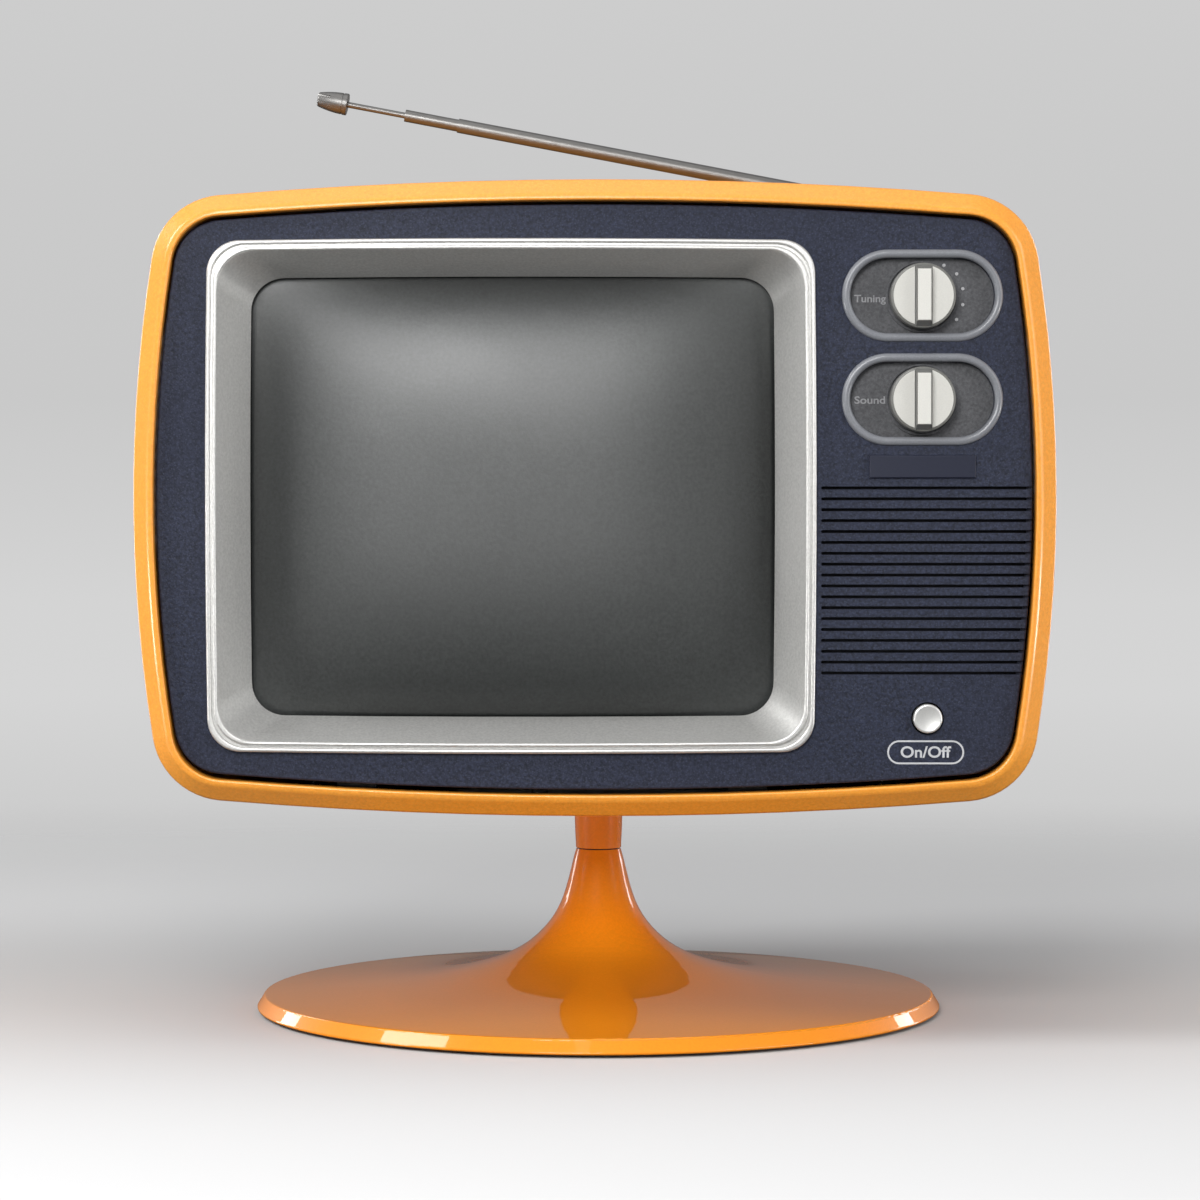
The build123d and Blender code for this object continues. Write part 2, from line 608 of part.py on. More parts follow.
def heat_sink():
    sink = box(-70.0, 60.0, 74.0, 77.0, BOARD_TOP, 176.0)
    for i in range(FIN_COUNT):
        x = FIN_X + i * FIN_PITCH
        sink = sink + box(x, x + FIN_THICK, 77.0, 83.8, 134.0, 176.0)
    return largest(sink)


def power_transistor(x):
    return box(x, x + 15.0, 69.4, 74.0, 150.0, 168.0) \
        + cyl_z(x + 3.5, 71.5, 0.6, BOARD_TOP, 150.0) + cyl_z(x + 11.5, 71.5, 0.6, BOARD_TOP, 150.0)


def tuner_can():
    tuner = box(124.0, 170.0, -118.0, -64.0, 318.0, 354.5) \
        + cyl_y(DIAL_X, CHANNEL_Z, 5.0, -124.6, -118.0)
    return largest(tuner - cyl_y(DIAL_X, CHANNEL_Z, SHAFT_HOLE_R, -130.0, -94.0))


def volume_pot():
    pot = cyl_y(DIAL_X, VOLUME_Z, 12.0, -118.0, -106.0) \
        + cyl_y(DIAL_X, VOLUME_Z, 5.0, -124.6, -118.0) \
        + box(DIAL_X - 9, DIAL_X + 9, -116.0, -114.4, VOLUME_Z - 20, VOLUME_Z)
    return largest(pot - cyl_y(DIAL_X, VOLUME_Z, SHAFT_HOLE_R, -130.0, -108.0))


save("main_board", main_board())
save("line_transformer", line_transformer())
save("mains_transformer", mains_transformer())
save("board_capacitors", [capacitor(*row) for row in CAPACITORS])
save("heat_sink", heat_sink())
save("power_transistors", [power_transistor(x) for x in (-50.0, 24.0)])
save("tuner_can", tuner_can())
save("volume_pot", volume_pot())

# ---------------------------------------------------------------- loudspeaker behind the slots
SPEAKER_X, SPEAKER_Z, SPEAKER_R = 150.0, 212.5, 43.0


def speaker_frame():
    frame = turned_y([
        (36.0, -126.2), (SPEAKER_R, -126.2), (SPEAKER_R, -123.6), (38.0, -123.0), (20.0, -104.0),
        (18.0, -100.0), (10.0, -100.0), (10.0, -101.6), (17.0, -101.6), (35.0, -121.8),
        (36.0, -124.2)], SPEAKER_X, SPEAKER_Z)
    # six radial windows
    for k in range(6):
        angle = radians(60 * k + 30)
        across, up = cos(angle), sin(angle)
        frame = frame - Solid.make_cylinder(6.5, 30.0, Plane(
            origin=(SPEAKER_X + 20 * across, -112.0, SPEAKER_Z + 20 * up), z_dir=(across, 0, up)))
    return largest(frame)


def grille_cloth():
    bottom_z = SLOT_TOP_Z - (SLOT_COUNT - 1) * SLOT_PITCH - 3
    cloth = box(SLOT_X - 1.2, 205.0, PANEL_BACK, PANEL_BACK + 0.6, bottom_z, SLOT_TOP_Z + 3)
    return largest(cloth & prism(panel_wire(-0.6, PANEL_Y), 8.0))


save("speaker_frame", speaker_frame())
save("speaker_cone", turned_y([
    (8.8, -107.2), (9.8, -107.8), (31.0, -122.0), (35.0, -122.6), (35.0, -123.6),
    (30.6, -122.9), (9.0, -108.5), (0.0, -111.5), (0.0, -110.6)], SPEAKER_X, SPEAKER_Z))
save("speaker_magnet", cyl_y(SPEAKER_X, SPEAKER_Z, 22.0, -99.9, -84.0))
save("grille_cloth", grille_cloth())

# ---------------------------------------------------------------- dials
KNOB_R = 14.8
KNOB_FACE = PANEL_Y - 6.0
KNOB_BACK = DISH_Y - 0.7
SHAFT_FRONT = KNOB_BACK - 7.0
BAR_FRONT = KNOB_FACE - 5.6     # front of the grip bar
BEAD_FRONT = PANEL_Y - 1.9
# radius and angle about the channel knob
CHANNEL_DOTS = [(17.3, 55.8), (18.7, 33.75), (18.7, 11.25), (18.7, -11.25), (18.7, -33.75)]
BADGE_X, BADGE_Z, BADGE_HX, BADGE_HZ = DIAL_X + 0.1, 264.5, 24.2, 5.15


def dish(z, knob_z):
    """Recessed plate with a thin ring round the knob."""
    plate = stadium(DIAL_X, z, DISH_W - 4.0, DISH_H - 4.0, DISH_Y, DISH_Y + 1.6)
    plate = plate + (cyl_y(DIAL_X, knob_z, 16.3, DISH_Y - 1.3, DISH_Y + 0.2)
                     - cyl_y(DIAL_X, knob_z, 15.6, DISH_Y - 2, DISH_Y + 1))
    return largest(plate - cyl_y(DIAL_X, knob_z, 5.02, DISH_Y - 2, DISH_Y + 4))


def bead_ring(z):
    ring = largest(stadium(DIAL_X, z, DISH_W, DISH_H, BEAD_FRONT, PANEL_Y) - stadium(
        DIAL_X, z, DISH_W - 2 * BEAD_W, DISH_H - 2 * BEAD_W, PANEL_Y - 4, PANEL_Y + 1))
    return try_round(ring, BEAD_FRONT, 1.75)


def channel_dot(radius, angle):
    return cyl_y(DIAL_X + 0.3 + radius * cos(radians(angle)),
                 CHANNEL_Z + radius * sin(radians(angle)), 0.75, DISH_Y - 0.35, DISH_Y)


def badge_plate():
    front = PANEL_Y - 1.7
    badge = box(BADGE_X - BADGE_HX, BADGE_X + BADGE_HX, front, PANEL_Y,
                BADGE_Z - BADGE_HZ, BADGE_Z + BADGE_HZ)
    return largest(badge.fillet(0.5, edges_at(badge, front)))


def knob_body(z):
    knob = cyl_y(DIAL_X, z, KNOB_R, KNOB_FACE, KNOB_BACK)
    knob = largest(knob.fillet(0.9, edges_at(knob, KNOB_FACE)))
    # grip bar across the face, with sloping ends: (height above the axis, y)
    profile = [(14.1, KNOB_FACE + 0.5), (13.9, KNOB_FACE), (11.8, BAR_FRONT),
               (-11.8, BAR_FRONT), (-13.9, KNOB_FACE), (-14.1, KNOB_FACE + 0.5)]
    face = Face(Wire.make_polygon([Vector(DIAL_X - 3.4, y, z + up) for up, y in profile],
                                  close=True))
    knob = largest(knob + Solid.extrude(face, Vector(6.8, 0, 0)))
    return largest(knob - cyl_y(DIAL_X, z, SHAFT_R, SHAFT_FRONT, KNOB_BACK + 1))


def knob_faces(z):
    """Thin half-moon plates either side of the grip bar, and a strip along its top."""
    moons = cyl_y(DIAL_X, z, 13.6, KNOB_FACE - 0.55, KNOB_FACE) \
        - box(DIAL_X - 4.0, DIAL_X + 4.0, KNOB_FACE - 2, KNOB_FACE + 1, z - 20, z + 20)
    front = BAR_FRONT - 0.5
    strip = box(DIAL_X - 3.0, DIAL_X + 3.0, front, BAR_FRONT, z - 11.6, z + 11.6)
    return list(moons.solids()) + [largest(strip.fillet(0.3, edges_at(strip, front)))]


save("dial_dishes", [dish(CHANNEL_DISH_Z, CHANNEL_Z), dish(VOLUME_DISH_Z, VOLUME_Z)])
save("dial_beads", [bead_ring(CHANNEL_DISH_Z), bead_ring(VOLUME_DISH_Z)])
save("channel_dots", [channel_dot(*dot) for dot in CHANNEL_DOTS])
save("badge_plate", badge_plate())
for dial, knob_z, shaft_back in (("channel", CHANNEL_Z, -95.0), ("volume", VOLUME_Z, -109.0)):
    save(dial + "_knob_body", knob_body(knob_z))
    save(dial + "_knob_faces", knob_faces(knob_z))
    save(dial + "_shaft", cyl_y(DIAL_X, knob_z, SHAFT_R, SHAFT_FRONT, shaft_back))


# ---------------------------------------------------------------- power button and switch
def power_button():
    front, back = -134.2, -125.0
    hollow_r, hollow_depth = 26.0, 0.62     # finger hollow in the front
    button = cyl_y(BUTTON_X, BUTTON_Z, BUTTON_R, front, back)
    button = largest(button.fillet(0.9, edges_at(button, front)))
    button = button - Pos(BUTTON_X, front - hollow_r + hollow_depth, BUTTON_Z) \
        * Solid.make_sphere(hollow_r, angle1=-90, angle2=90, angle3=360)
    return largest(button + cyl_y(BUTTON_X, BUTTON_Z, 2.5, back, -108.0))


def power_switch():
    x, z = BUTTON_X, BUTTON_Z
    switch = box(x - 10, x + 10, -119.0, -96.0, z - 9, z + 9)
    switch = switch + box(x - 16, x + 16, -119.0, -117.4, z - 6, z + 6)
    return largest(switch - cyl_y(x, z, 2.55, -122.0, -104.0))


save("power_button", power_button())
save("power_switch", power_switch())

# ---------------------------------------------------------------- rear cover
# (offset outwards from the lip outline, depth behind the lip)
REAR_OUTER = [(12.2, 230.3), (10.7, 244.0), (6.8, 260.0), (1.2, 272.0), (-6.0, 280.0),
              (-13.0, 284.6), (-20.0, 286.0)]
REAR_INNER = [(-20.0, 283.0), (-12.0, 281.4), (-7.4, 277.6), (-0.9, 269.6), (4.3, 258.0),
              (7.2, 245.0), (8.75, 232.6)]
WELL_LIMIT = [(5.2, 205.0), (5.2, 259.5), (3.0, 265.0), (-0.1, 271.0), (-3.1, 275.0),
              (-6.4, 278.4)]     # mid-wall, where the screw wells end
VENT_ROWS, VENT_TOP_Z, VENT_PITCH = 13, 330.0, 8.0
VENT_SPANS = ((-168.0, -92.0), (-84.0, -4.0), (4.0, 84.0), (92.0, 168.0))
REAR_SEAT = 98.0            # seat of the rear screw heads


def rear_profile(at):
    def along(points):
        return [at(*point) for point in points]

    return [
        Edge.make_spline(along(REAR_OUTER)),
        *lines(along([REAR_OUTER[-1], (-22.0, 286.0), (-22.0, 283.0), REAR_INNER[0]])),
        Edge.make_spline(along(REAR_INNER)),
        *lines(along([REAR_INNER[-1], (6.6, 232.6), (6.6, 222.3), (8.7, 222.3), (8.7, 230.3),
                      REAR_OUTER[0]])),
    ]


def rear_cover():
    cover = swept_round_cabinet(rear_profile)
    cover = largest(cover + prism(cabinet_wire(-20.0, LIP_Y + 283.0), 3.0))
    back = SPLIT_Y + 60
    for row in range(VENT_ROWS):
        z = VENT_TOP_Z - row * VENT_PITCH
        for x0, x1 in VENT_SPANS:
            # the lowest rows stop short of the +X side
            if row > 9 and x0 > 80:
                continue
            cover = cover - box(x0, x1, SPLIT_Y + 44, back, z - 1.4, z + 1.4)
    cover = largest(cover)
    # openings for the mains inlet and the antenna terminals
    cover = cover - box(-146.0, -112.0, SPLIT_Y + 40, back, 168.0, 190.0)
    cover = cover - box(112.0, 152.0, SPLIT_Y + 40, back, 168.0, 188.0)
    cover = largest(cover)
    # screw wells: tubes from near the split line back into the sloping wall
    limit = ruled_loft([cabinet_wire(offset, LIP_Y + depth) for offset, depth in WELL_LIMIT])
    for x, z in REAR_FIXINGS:
        well = largest(cyl_y(x, z, 5.4, 84.0, 142.5) & limit)
        cover = largest(cover - cyl_y(x, z, 4.0, REAR_SEAT, back))
        well = well - cyl_y(x, z, 2.0, 80.0, back) - cyl_y(x, z, 4.0, REAR_SEAT, back)
        cover = largest(cover + largest(well))
    return largest(cover)


def mains_inlet():
    inlet = box(-145.9, -112.1, SPLIT_Y + 36, SPLIT_Y + 55.0, 168.1, 189.9) \
        - box(-142.0, -116.0, SPLIT_Y + 43, SPLIT_Y + 57, 172.0, 186.0)
    pins = [cyl_y(x, 179.0, 1.6, SPLIT_Y + 42, SPLIT_Y + 53) for x in (-134.0, -124.0)]
    return largest(inlet + pins[0] + pins[1])


def antenna_terminals():
    plate = box(112.1, 151.9, SPLIT_Y + 49.0, SPLIT_Y + 51.0, 168.1, 187.9)
    for x in (122.0, 142.0):
        plate = plate + cyl_y(x, 178.0, 4.5, SPLIT_Y + 51.0, SPLIT_Y + 54.0) \
            - box(x - 3.4, x + 3.4, SPLIT_Y + 53.2, SPLIT_Y + 55, 177.5, 178.5)
    return largest(plate)


save("rear_cover", rear_cover())
save("rear_screws", [
    screw_y(x, z, REAR_SEAT, shank_r=1.75, length=26.0, head_r=3.6, slot_floor=1.6)
    for x, z in REAR_FIXINGS])
save("mains_inlet", mains_inlet())
save("antenna_terminals", antenna_terminals())

# ---------------------------------------------------------------- telescopic antenna
TILT = radians(ANTENNA_ANGLE)
ALONG = Vector(-cos(TILT), 0, sin(TILT))
ACROSS = Vector(sin(TILT), 0, cos(TILT))
PIVOT = Vector(ANTENNA_X, ANTENNA_Y, ANTENNA_Z)
TUBE_4_END = 227.5
# number, distance of the outer end from the pivot, length, outer radius, bore radius
TUBES = [(2, 228.1, 178.0, 3.10, 2.65), (3, 227.8, 170.0, 2.60, 2.15),
         (4, TUBE_4_END, 162.0, 2.10, 1.55)]
ROD_R = 1.5
TIP_START, TIP_END = 258.2, 273.8


def rod(start, end, radius):
    return Solid.make_cylinder(radius, end - start, Plane(origin=PIVOT + ALONG * start, z_dir=ALONG))


def sleeve(start, end, outer_r, inner_r, plug):
    """Tube left solid for the length plug at its root end."""
    return largest(rod(start, end, outer_r) - rod(start + plug, end + 1, inner_r))


def antenna_fork():
    fork = turned_z([
        (0, 376.5), (4.4, 376.5), (4.9, 377.0), (4.9, 397.3), (10.9, 397.3), (11.4, 397.8),
        (11.4, 400.4), (10.4, 401.3), (0, 401.3)], ANTENNA_X, ANTENNA_Y)
    for side in SIGNS:
        y0, y1 = sorted((ANTENNA_Y + side * 2.6, ANTENNA_Y + side * 6.0))
        ear = box(ANTENNA_X - 5.0, ANTENNA_X + 5.0, y0, y1, 400.0, ANTENNA_Z) \
            + cyl_y(ANTENNA_X, ANTENNA_Z, 5.0, y0, y1)
        fork = fork + largest(ear)
    return largest(fork - cyl_y(ANTENNA_X, ANTENNA_Z, 2.02, ANTENNA_Y - 8, ANTENNA_Y + 8))


def pivot_cyl(radius, start, end):
    return cyl_y(ANTENNA_X, ANTENNA_Z, radius, ANTENNA_Y + start, ANTENNA_Y + end)


def root_tube():
    arm = Solid.make_box(10.0, 5.0, 7.0, Plane(
        origin=PIVOT + Vector(0, 2.5, 0) + ACROSS * -3.5, x_dir=ALONG, z_dir=ACROSS))
    root = largest(sleeve(8.0, 200.4, 3.65, 3.15, 8.0) + pivot_cyl(4.4, -2.5, 2.5) + arm)
    return largest(root - pivot_cyl(2.05, -8, 8))


def antenna_tip():
    """Bullet-shaped end: blunt at the rod, a low band, then a curve to a slotted nose."""
    length = TIP_END - TIP_START

    def at(radius, distance):
        return PIVOT + ALONG * (TIP_START + distance) + ACROSS * radius

    nose = at(3.75, length - 0.9)
    face = Face(Wire([
        *lines([at(0, 0), at(5.3, 0), at(5.6, 0.3), at(5.55, 2.2), at(5.25, 2.3), at(5.25, 2.8),
                at(5.5, 2.9)]),
        Edge.make_three_point_arc(at(5.5, 2.9), at(4.95, 9.0), nose),
        Edge.make_three_point_arc(nose, at(3.35, length - 0.25), at(2.6, length)),
        *lines([at(2.6, length), at(0, length), at(0, 0)]),
    ]))
    tip = Solid.revolve(face, 360, Axis(PIVOT, ALONG))
    tip = largest(tip - rod(TIP_START - 1, TIP_START + 6.0, ROD_R))
    # the slot's box runs from its origin towards -Y
    origin = PIVOT + ALONG * (TIP_END - 6.8) + ACROSS * 1.7 + Vector(0, -2.2, 0)
    slot = Solid.make_box(9.0, 12.0, 0.8, Plane(origin=origin, x_dir=ALONG, z_dir=ACROSS))
    return largest(tip - slot)


save("antenna_bushing", turned_z([
    (4.95, 386.0), (13.0, 386.0), (13.0, 387.8), (17.0, 387.8), (17.0, 390.4), (13.0, 390.4),
    (13.0, 396.6), (12.4, 397.2), (4.95, 397.2)], ANTENNA_X, ANTENNA_Y))
save("antenna_fork", antenna_fork())
save("antenna_nut", hex_nut(ANTENNA_X, ANTENNA_Y, 15, 4.92, 380.4, 385.8))
save("antenna_pin", largest(
    pivot_cyl(2.0, -6.0, 6.0) + pivot_cyl(3.2, -7.2, -6.0) + pivot_cyl(3.0, 6.0, 7.0)))
save("antenna_tube_1", root_tube())
for number, end, length, outer_r, inner_r in TUBES:
    save(f"antenna_tube_{number}", sleeve(end - length, end, outer_r, inner_r, 6.0))
save("antenna_rod", rod(TUBE_4_END - 126.5, TIP_START + 6.0, ROD_R))
save("antenna_tip", antenna_tip())


# ---------------------------------------------------------------- neck and swivel
def swivel_bracket():
    half_x, half_y = 72.0, 50.0
    plate = box(-half_x, half_x, -half_y, half_y, BRACKET_BOTTOM, BRACKET_TOP)
    plate = plate - cyl_z(0, 0, 6.08, 100, 115)
    for x, y in FLOOR_FIXINGS:
        plate = plate - cyl_z(x, y, 2.0, 100, 115)
    corners = [e for e in plate.edges() if abs(abs(e.center().X) - half_x) < 1e-3
               and abs(abs(e.center().Y) - half_y) < 1e-3]
    return largest(plate.fillet(8.0, corners))


save("neck_collar", turned_z([
    (6.05, 78.95), (11.0, 78.95), (11.2, 79.2), (11.25, 81.5), (11.5, 86.0), (11.7, 91.0),
    (11.8, 96.0), (11.8, 106.2), (30.0, 106.2), (30.0, BRACKET_BOTTOM), (6.05, BRACKET_BOTTOM)]))
save("swivel_bracket", swivel_bracket())
save("floor_screws", [screw_z(x, y, BRACKET_TOP) for x, y in FLOOR_FIXINGS]
     + [screw_z(x, y, BOARD_TOP) for x, y in BOARD_FIXINGS])
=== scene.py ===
# A table television: orange cabinet on a tulip stand, rod antenna, two knobs beside the screen.
# Metres, +Z up. The stand rests on z = 0, the screen faces -Y and the controls are on the +X side.
# This script gives the loaded pieces their surfaces, prints the lettering and sets up the studio.
import math
import bpy
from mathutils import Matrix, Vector


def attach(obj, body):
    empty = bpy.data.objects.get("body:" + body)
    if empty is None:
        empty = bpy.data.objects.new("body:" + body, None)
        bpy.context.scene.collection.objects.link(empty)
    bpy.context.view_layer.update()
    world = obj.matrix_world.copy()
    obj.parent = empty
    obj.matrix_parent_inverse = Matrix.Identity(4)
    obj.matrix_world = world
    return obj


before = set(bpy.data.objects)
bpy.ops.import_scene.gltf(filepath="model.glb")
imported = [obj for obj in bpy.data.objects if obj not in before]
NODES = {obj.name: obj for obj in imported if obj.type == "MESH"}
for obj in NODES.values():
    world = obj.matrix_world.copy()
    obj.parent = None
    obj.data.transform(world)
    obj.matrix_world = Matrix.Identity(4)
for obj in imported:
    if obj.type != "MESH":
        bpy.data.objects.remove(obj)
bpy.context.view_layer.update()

MM = 0.001
scene = bpy.context.scene


# ---------------------------------------------------------------- shader helpers
def feed(tree, socket, value):
    """Link an input to another node's output, or set it to a constant."""
    if isinstance(value, bpy.types.NodeSocket):
        tree.links.new(value, socket)
    else:
        socket.default_value = value


def add_node(tree, kind, inputs=None, **settings):
    """New shader node with its settings and its inputs, keyed by name or index."""
    node = tree.nodes.new("ShaderNode" + kind)
    for key, value in settings.items():
        setattr(node, key, value)
    for key, value in (inputs or {}).items():
        feed(tree, node.inputs[key], value)
    return node


def map_range(tree, value, source, target=(0.0, 1.0), interpolation="LINEAR"):
    inputs = dict(enumerate((value, *source, *target)))
    return add_node(tree, "MapRange", inputs, interpolation_type=interpolation).outputs[0]


def mix_colors(tree, factor, first, second, blend="MIX"):
    """Colour mix; inputs 6 and 7 are the colour pair of the Mix node."""
    inputs = {0: factor, 6: first, 7: second}
    return add_node(tree, "Mix", inputs, data_type="RGBA", blend_type=blend).outputs[2]


def empty_tree(owner):
    """Clear the shader tree of a material or world."""
    owner.use_nodes = True
    owner.node_tree.nodes.clear()
    return owner.node_tree


def fill_ramp(ramp, stops):
    """Replace the stops of a colour ramp; each is (position, rgb)."""
    elements = ramp.color_ramp.elements
    elements.remove(elements[-1])
    for index, (position, rgb) in enumerate(stops):
        element = elements[0] if index == 0 else elements.new(position)
        element.position = position
        element.color = (*rgb, 1.0)


def shade(color, gain):
    return (*(min(1, channel * gain) for channel in color), 1.0)


def surface(name, pieces, *, color, rough, grain, bump, depth, mottle, rough_var=0.10,
            metallic=0.0, specular=0.5, coat=0.0, coat_rough=0.0, tint=None, big=9.0,
            stretch=(1, 1, 1), speck=0.0, speck_color=None, speck_scale=None, wear=0.0):
    """Make a mottled, grained material and put it on the named pieces.

    grain, big, speck_scale: texture scales of the fine grain, broad patches and specks
    bump, depth: strength and distance (m) of the grain's relief
    mottle: how far the fine grain shifts the colour; tint: colour of the broad patches
    rough_var: roughness swing either side of rough; stretch: scaling of the grain's space
    speck, wear: strength of the specks and of the rubbed edges
    """
    material = bpy.data.materials.new(name)
    tree = empty_tree(material)
    shader = add_node(tree, "BsdfPrincipled", {
        "Metallic": metallic, "IOR": 1.5, "Specular IOR Level": specular})
    add_node(tree, "OutputMaterial", {0: shader.outputs[0]})
    place = add_node(tree, "TexCoord").outputs["Object"]
    grain_place = add_node(tree, "Mapping", {"Vector": place, "Scale": stretch}).outputs[0]
    fine = add_node(tree, "TexNoise", {
        "Vector": grain_place, "Scale": grain, "Detail": 4.0, "Roughness": 0.6}).outputs["Fac"]
    broad = add_node(tree, "TexNoise", {
        "Vector": place, "Scale": big, "Detail": 3.0}).outputs["Fac"]

    # Colour: fine grain, broad patches, then specks and rubbed edges where asked for
    base = mix_colors(tree, map_range(tree, fine, source=(0.32, 0.68)),
                      shade(color, 1.0 - mottle), shade(color, 1.0 + mottle))
    patches = map_range(tree, broad, source=(0.45, 0.75), target=(0.0, 0.35))
    base = mix_colors(tree, patches, base, (*tint, 1) if tint else shade(color, 0.86))
    if speck:
        cells = add_node(tree, "TexVoronoi", {"Vector": grain_place, "Scale": speck_scale})
        spots = map_range(tree, cells.outputs["Distance"], source=(0.0, 0.42), target=(speck, 0.0))
        base = mix_colors(tree, spots, base, (*speck_color, 1))
    if wear:
        edges = add_node(tree, "NewGeometry").outputs["Pointiness"]
        rubbed = map_range(tree, edges, source=(0.52, 0.62), target=(0.0, wear))
        base = mix_colors(tree, rubbed, base, shade(color, 1.4))
    feed(tree, shader.inputs["Base Color"], base)

    roughness = map_range(tree, broad, source=(0.3, 0.7),
                          target=(max(0.02, rough - rough_var), min(1.0, rough + rough_var)))
    feed(tree, shader.inputs["Roughness"], roughness)
    relief = add_node(tree, "Bump", {"Strength": bump, "Distance": depth, "Height": fine})
    feed(tree, shader.inputs["Normal"], relief.outputs[0])
    if coat:
        shader.inputs["Coat Weight"].default_value = coat
        shader.inputs["Coat Roughness"].default_value = coat_rough
        shader.inputs["Coat IOR"].default_value = 1.5

    for piece in pieces:
        slots = NODES[piece].data.materials
        slots.clear()
        slots.append(material)
    return material


# ---------------------------------------------------------------- materials
shell_orange = surface(
    "shell_orange", ["cabinet_shell"],
    color=(0.88, 0.335, 0.032), rough=0.40, rough_var=0.05, grain=700, bump=0.34, depth=0.0003,
    mottle=0.11, coat=0.55, coat_rough=0.16, tint=(0.87, 0.31, 0.026),
    speck=0.30, speck_color=(1.0, 0.56, 0.14), speck_scale=900)
stand_orange = surface(
    "stand_orange", ["base_tulip", "neck_collar"],
    color=(0.89, 0.272, 0.007), rough=0.42, rough_var=0.03, grain=900, bump=0.03, depth=0.0002,
    mottle=0.05, coat=0.75, coat_rough=0.03, specular=0.15, tint=(0.87, 0.248, 0.006))
surface("panel_navy", ["front_panel"],
        color=(0.0168, 0.0208, 0.0395), rough=0.55, rough_var=0.06, grain=720, bump=0.80,
        depth=0.0004, mottle=0.50, specular=0.25,
        speck=0.45, speck_color=(0.062, 0.074, 0.120), speck_scale=850)
surface("badge_navy", ["badge_plate"],
        color=(0.0165, 0.0193, 0.036), rough=0.38, rough_var=0.04, grain=1600, bump=0.06,
        depth=0.0002, mottle=0.08, specular=0.3)
surface("surround_silver", ["screen_surround"],
        color=(0.645, 0.64, 0.62), rough=0.42, rough_var=0.05, metallic=0.72, grain=800,
        bump=0.10, depth=0.0002, mottle=0.10)
screen_glass = surface(
    "screen_glass", ["crt_faceplate"],
    color=(0.021, 0.024, 0.023), rough=0.45, rough_var=0.03, grain=650, bump=0.20, depth=0.0002,
    mottle=0.40, specular=1.0)
surface("black_rubber", ["foot_pad", "screen_gasket", "friction_washer"],
        color=(0.012, 0.012, 0.012), rough=0.75, grain=1400, bump=0.4, depth=0.0003, mottle=0.25)
surface("black_plastic", ["antenna_bushing", "power_switch", "mains_inlet", "power_transistors"],
        color=(0.015, 0.015, 0.017), rough=0.5, grain=1500, bump=0.25, depth=0.0003, mottle=0.2)
surface("cover_charcoal", ["rear_cover"],
        color=(0.030, 0.031, 0.036), rough=0.55, grain=900, bump=0.5, depth=0.0005, mottle=0.2,
        speck=0.2, speck_color=(0.06, 0.06, 0.065), speck_scale=1300)
surface("dish_grey", ["dial_dishes"],
        color=(0.086, 0.087, 0.093), rough=0.55, grain=800, bump=0.5, depth=0.0003, mottle=0.30,
        specular=0.3, speck=0.3, speck_color=(0.13, 0.13, 0.135), speck_scale=900)
surface("bead_grey", ["dial_beads"],
        color=(0.185, 0.192, 0.21), rough=0.34, grain=1500, bump=0.14, depth=0.0002, mottle=0.10,
        coat=0.3, coat_rough=0.2)
surface("knob_white", ["channel_knob_faces", "volume_knob_faces"],
        color=(0.625, 0.617, 0.575), rough=0.42, grain=1900, bump=0.12, depth=0.0002, mottle=0.04)
surface("knob_grey", ["channel_knob_body", "volume_knob_body"],
        color=(0.15, 0.15, 0.14), rough=0.38, grain=1800, bump=0.10, depth=0.0002, mottle=0.08,
        wear=0.3)
surface("printed_grey", ["channel_dots"],
        color=(0.40, 0.40, 0.41), rough=0.5, grain=2500, bump=0.1, depth=0.0001, mottle=0.1)
printed_dim = surface(
    "printed_dim", [],
    color=(0.27, 0.27, 0.28), rough=0.5, grain=2500, bump=0.1, depth=0.0001, mottle=0.12)
printed_label = surface(
    "printed_label", [],
    color=(0.50, 0.51, 0.53), rough=0.5, grain=2500, bump=0.1, depth=0.0001, mottle=0.12)
surface("button_silver", ["power_button"],
        color=(0.72, 0.72, 0.70), rough=0.34, rough_var=0.04 + 0.06, metallic=0.6, grain=1600,
        bump=0.05, depth=0.0002, mottle=0.05)
surface("antenna_steel",
        ["antenna_tube_1", "antenna_tube_2", "antenna_tube_3", "antenna_tube_4", "antenna_rod",
         "antenna_tip", "antenna_pin"],
        color=(0.21, 0.205, 0.198), rough=0.42, rough_var=0.05, metallic=1.0, grain=700,
        bump=0.04, depth=0.0001, mottle=0.08, stretch=(0.15, 1.0, 1.0))
surface("zinc_steel",
        ["spindle", "spindle_nuts", "thrust_washer", "floor_screws", "front_screws",
         "rear_screws", "swivel_bracket", "implosion_band", "speaker_frame", "volume_pot",
         "tuner_can", "channel_shaft", "volume_shaft", "antenna_fork", "antenna_nut"],
        color=(0.52, 0.52, 0.50), rough=0.35, metallic=1.0, grain=400, bump=0.15, depth=0.0002,
        mottle=0.12, stretch=(0.2, 1, 1), tint=(0.40, 0.40, 0.44), big=30)
surface("cast_iron", ["ballast_disc"],
        color=(0.045, 0.045, 0.048), rough=0.7, grain=500, bump=0.8, depth=0.0008, mottle=0.3)
surface("copper_winding", ["yoke_coils"],
        color=(0.42, 0.13, 0.04), rough=0.3, metallic=0.8, grain=500, bump=0.5, depth=0.0006,
        mottle=0.2, stretch=(1, 6, 1))
surface("ferrite", ["yoke_core", "speaker_magnet", "line_transformer"],
        color=(0.035, 0.035, 0.038), rough=0.5, grain=900, bump=0.3, depth=0.0003, mottle=0.2)
surface("circuit_board", ["main_board", "crt_socket_board"],
        color=(0.26, 0.14, 0.045), rough=0.5, grain=600, bump=0.2, depth=0.0002, mottle=0.15,
        tint=(0.17, 0.09, 0.03), big=60)
surface("graphite_glass", ["crt_funnel"],
        color=(0.022, 0.022, 0.024), rough=0.45, grain=700, bump=0.2, depth=0.0003, mottle=0.2)
